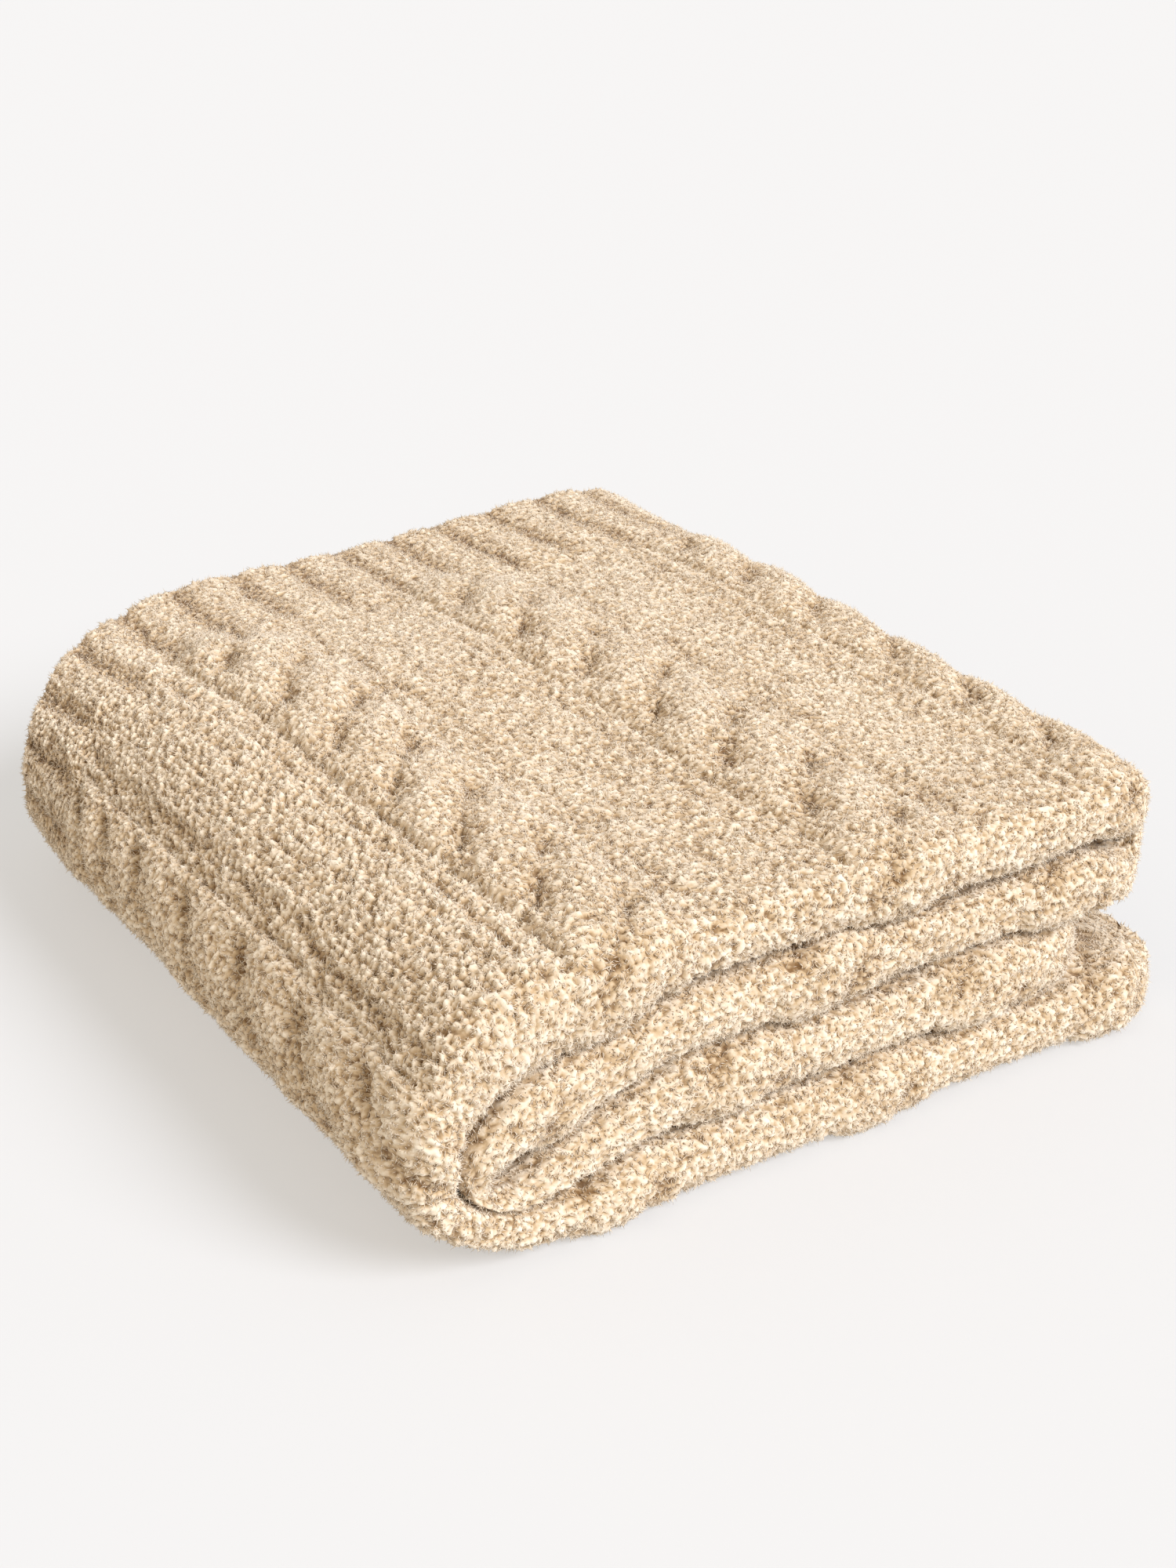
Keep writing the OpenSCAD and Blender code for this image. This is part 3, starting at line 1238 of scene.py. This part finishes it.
def add_sum(
    tree: bpy.types.NodeTree, operation: str, value: float, fed: bpy.types.NodeSocket,
    added: bpy.types.NodeSocket | None = None,
) -> bpy.types.NodeSocket:
    """Adds a sum to a material.

    Args:
        tree: The material's nodes.
        operation: What the sum does.
        value: The number that it works with.
        fed: What it works on.
        added: What a MULTIPLY_ADD adds to the product.

    Returns:
        The result.
    """
    node = tree.nodes.new("ShaderNodeMath")
    node.operation = operation
    node.inputs[1].default_value = value
    tree.links.new(fed, node.inputs[0])
    if added:
        tree.links.new(added, node.inputs[2])
    return node.outputs[0]


@dataclass(frozen=True)
class Shades:
    """A run of colours from dark to light, each red, green and blue in linear light."""

    stops: tuple[tuple[float, tuple[float, float, float]], ...]

    def paint(self, tree: bpy.types.NodeTree, shade: bpy.types.NodeSocket, shader: bpy.types.Node) -> None:
        """Colours a material.

        Args:
            tree: The material's nodes.
            shade: What picks the colour, from 0 to 1.
            shader: The material's shader.
        """
        ramp = tree.nodes.new("ShaderNodeValToRGB")
        elements = ramp.color_ramp.elements
        while len(elements) < len(self.stops):
            elements.new(0.5)
        for element, (place, colour) in zip(elements, self.stops):
            element.position = place
            element.color = (*colour, 1.0)
        tree.links.new(shade, ramp.inputs["Fac"])
        tree.links.new(ramp.outputs["Color"], shader.inputs["Base Color"])


@dataclass(frozen=True)
class SkinFinish:
    """The knit itself: heathered yarn, speckled at random, with painted shade that darkens its pits and
    furrows and painted light on its tufts.
    """

    # from painted shade in the pits, through the yarn's own colour, to painted light on the tufts
    shades: Shades = Shades(
        (
            (0.0, (0.200, 0.105, 0.036)),
            (0.35, (0.545, 0.390, 0.222)),
            (0.75, (0.775, 0.652, 0.488)),
            (1.0, (0.850, 0.745, 0.595)),
        )
    )
    roughness: float = 0.95
    sheen: float = 0.25
    speck_scale: float = 700.0
    speck_share: float = 0.5

    def build(self) -> bpy.types.Material:
        """Makes the material."""
        material, tree, shader = start_finish("fluffy_knit", {
            "Roughness": self.roughness, "Sheen Weight": self.sheen, "Sheen Roughness": 0.6,
            "Specular IOR Level": 0.15,
        })
        # reads the painted shade, which the speckle then varies at random
        shade = tree.nodes.new("ShaderNodeAttribute")
        shade.attribute_name = PAINTED_SHADE
        place = tree.nodes.new("ShaderNodeTexCoord")
        speck = tree.nodes.new("ShaderNodeTexNoise")
        speck.inputs["Scale"].default_value = self.speck_scale
        speck.inputs["Detail"].default_value = 3.0
        tree.links.new(place.outputs["Object"], speck.inputs["Vector"])
        lowered = add_sum(tree, "SUBTRACT", self.speck_share / 2, shade.outputs["Fac"])
        mixed = add_sum(tree, "MULTIPLY_ADD", self.speck_share, speck.outputs["Fac"], lowered)
        self.shades.paint(tree, mixed, shader)
        bump = tree.nodes.new("ShaderNodeBump")
        bump.inputs["Strength"].default_value = 0.6
        bump.inputs["Distance"].default_value = 0.4 * MM
        tree.links.new(speck.outputs["Fac"], bump.inputs["Height"])
        tree.links.new(bump.outputs["Normal"], shader.inputs["Normal"])
        return material


@dataclass(frozen=True)
class FibreFinish:
    """The fibres of the pile: each has its own tone, partly random and partly the knit's painted shade, and
    painted shade darkens it towards its root, so it is lighter towards its tip.
    """

    # dark stops are painted shade at the roots and over the knit's pits, light stops painted light at the
    # tips
    shades: Shades = Shades(
        (
            (0.0, (0.350, 0.215, 0.095)),
            (0.5, (0.778, 0.657, 0.498)),
            (1.0, (0.862, 0.768, 0.635)),
        )
    )

    roughness: float = 0.9
    sheen: float = 0.2

    def build(self) -> bpy.types.Material:
        """Makes the material."""
        material, tree, shader = start_finish("pile_fibre", {
            "Roughness": self.roughness, "Sheen Weight": self.sheen, "Specular IOR Level": 0.15,
        })
        flat = tree.nodes.new("ShaderNodeUVMap")
        flat.uv_map = LAID_FLAT
        parts = tree.nodes.new("ShaderNodeSeparateXYZ")
        tree.links.new(flat.outputs["UV"], parts.inputs[0])
        own = add_sum(tree, "MULTIPLY", 0.5, parts.outputs["X"])
        # half the fibre's tone and painted shade, half painted shade from root to tip
        self.shades.paint(tree, add_sum(tree, "MULTIPLY_ADD", 0.5, parts.outputs["Y"], own), shader)
        return material


@dataclass(frozen=True)
class Lamp:
    """A wide soft light that shines evenly from one side."""

    name: str
    colour: tuple[float, float, float]
    strength: float
    spread: float
    side: tuple[float, float, float]

    def hang(self, middle: Vector) -> None:
        """Makes the lamp, to one side of a point.

        Args:
            middle: The point.
        """
        light = bpy.data.lights.new(self.name, "SUN")
        light.angle = math.radians(self.spread)
        light.energy = self.strength
        light.color = self.colour
        lamp = bpy.data.objects.new(self.name, light)
        lamp.location = middle + Vector(self.side)
        lamp.rotation_mode = "QUATERNION"
        lamp.rotation_quaternion = Vector(self.side).to_track_quat("Z", "Y")
        bpy.context.scene.collection.objects.link(lamp)


@dataclass(frozen=True)
class Studio:
    """A plain pale floor under soft studio light, and the camera."""

    floor_half: float = 14.0
    floor_tone: tuple[float, float, float] = (0.35, 0.35, 0.35)
    floor_glow: float = 0.45
    glow_colour: tuple[float, float, float] = (1.0, 0.985, 0.965)
    sky_colour: tuple[float, float, float] = (1.0, 0.985, 0.96)
    sky_strength: float = 0.60
    key: Lamp = Lamp("key", (0.97, 0.99, 1.07), 3.5, 32.0, (0.72, 0.30, 0.62))
    fill: Lamp = Lamp("fill", (1.0, 0.71, 0.34), 0.60, 90.0, (-0.20, -1.0, 0.50))
    azimuth: float = 57.24
    elevation: float = 26.84
    distance: float = 1.003
    aim_off: tuple[float, float, float] = (0.0065, 0.0150, 0.0052)
    lens: float = 76.8
    sensor: float = 36.0

    def build(self, middle: Vector) -> None:
        """Makes the floor, the lights and the camera.

        Args:
            middle: Middle of the stack.
        """
        self._floor()
        self._lights(middle)
        self._camera(middle + Vector(self.aim_off))
        bpy.context.scene.view_settings.view_transform = "Standard"

    def _floor(self) -> None:
        """Makes the floor."""
        bm = bmesh.new()
        bmesh.ops.create_grid(bm, x_segments=1, y_segments=1, size=self.floor_half)
        mesh = bpy.data.meshes.new("floor")
        bm.to_mesh(mesh)
        bm.free()
        material, *_ = start_finish("pale_floor", {
            "Base Color": (*self.floor_tone, 1.0), "Roughness": 0.9, "Specular IOR Level": 0.1,
            "Emission Color": (*self.glow_colour, 1.0), "Emission Strength": self.floor_glow,
        })
        add_piece(mesh, material)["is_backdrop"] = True

    def _lights(self, middle: Vector) -> None:
        """Makes the soft sky, and hangs the lamps."""
        world = bpy.data.worlds.new("soft_sky")
        world.use_nodes = True
        sky = world.node_tree.nodes["Background"]
        sky.inputs["Color"].default_value = (*self.sky_colour, 1.0)
        sky.inputs["Strength"].default_value = self.sky_strength
        bpy.context.scene.world = world
        for lamp in (self.key, self.fill):
            lamp.hang(middle)

    def _camera(self, aim: Vector) -> None:
        """Makes the camera, looking at a point."""
        turn, rise = math.radians(self.azimuth), math.radians(self.elevation)
        back = Vector((math.sin(turn) * math.cos(rise), -math.cos(turn) * math.cos(rise), math.sin(rise)))
        lens = bpy.data.cameras.new("camera")
        lens.sensor_fit = "HORIZONTAL"
        lens.sensor_width = self.sensor
        lens.lens = self.lens
        lens.clip_start = 0.05
        lens.clip_end = 60.0
        camera = bpy.data.objects.new("camera", lens)
        camera.location = aim + back * self.distance
        camera.rotation_mode = "QUATERNION"
        camera.rotation_quaternion = (-back).to_track_quat("-Z", "Y")
        bpy.context.scene.collection.objects.link(camera)
        bpy.context.scene.camera = camera


def main() -> None:
    """Makes the studio and the throw around the frame."""
    logging.basicConfig(level=logging.INFO, format="%(name)s: %(message)s")
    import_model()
    low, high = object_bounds()
    Studio().build((low + high) / 2)
    throw = Throw(Stack.measure(), Knit(), SkinFinish().build(), FibreFinish().build())
    for stretch in throw.stretches():
        for wrap in Wrap:
            throw.make_sheet(stretch, wrap)
    low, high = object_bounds()


if __name__ == "__main__":
    main()
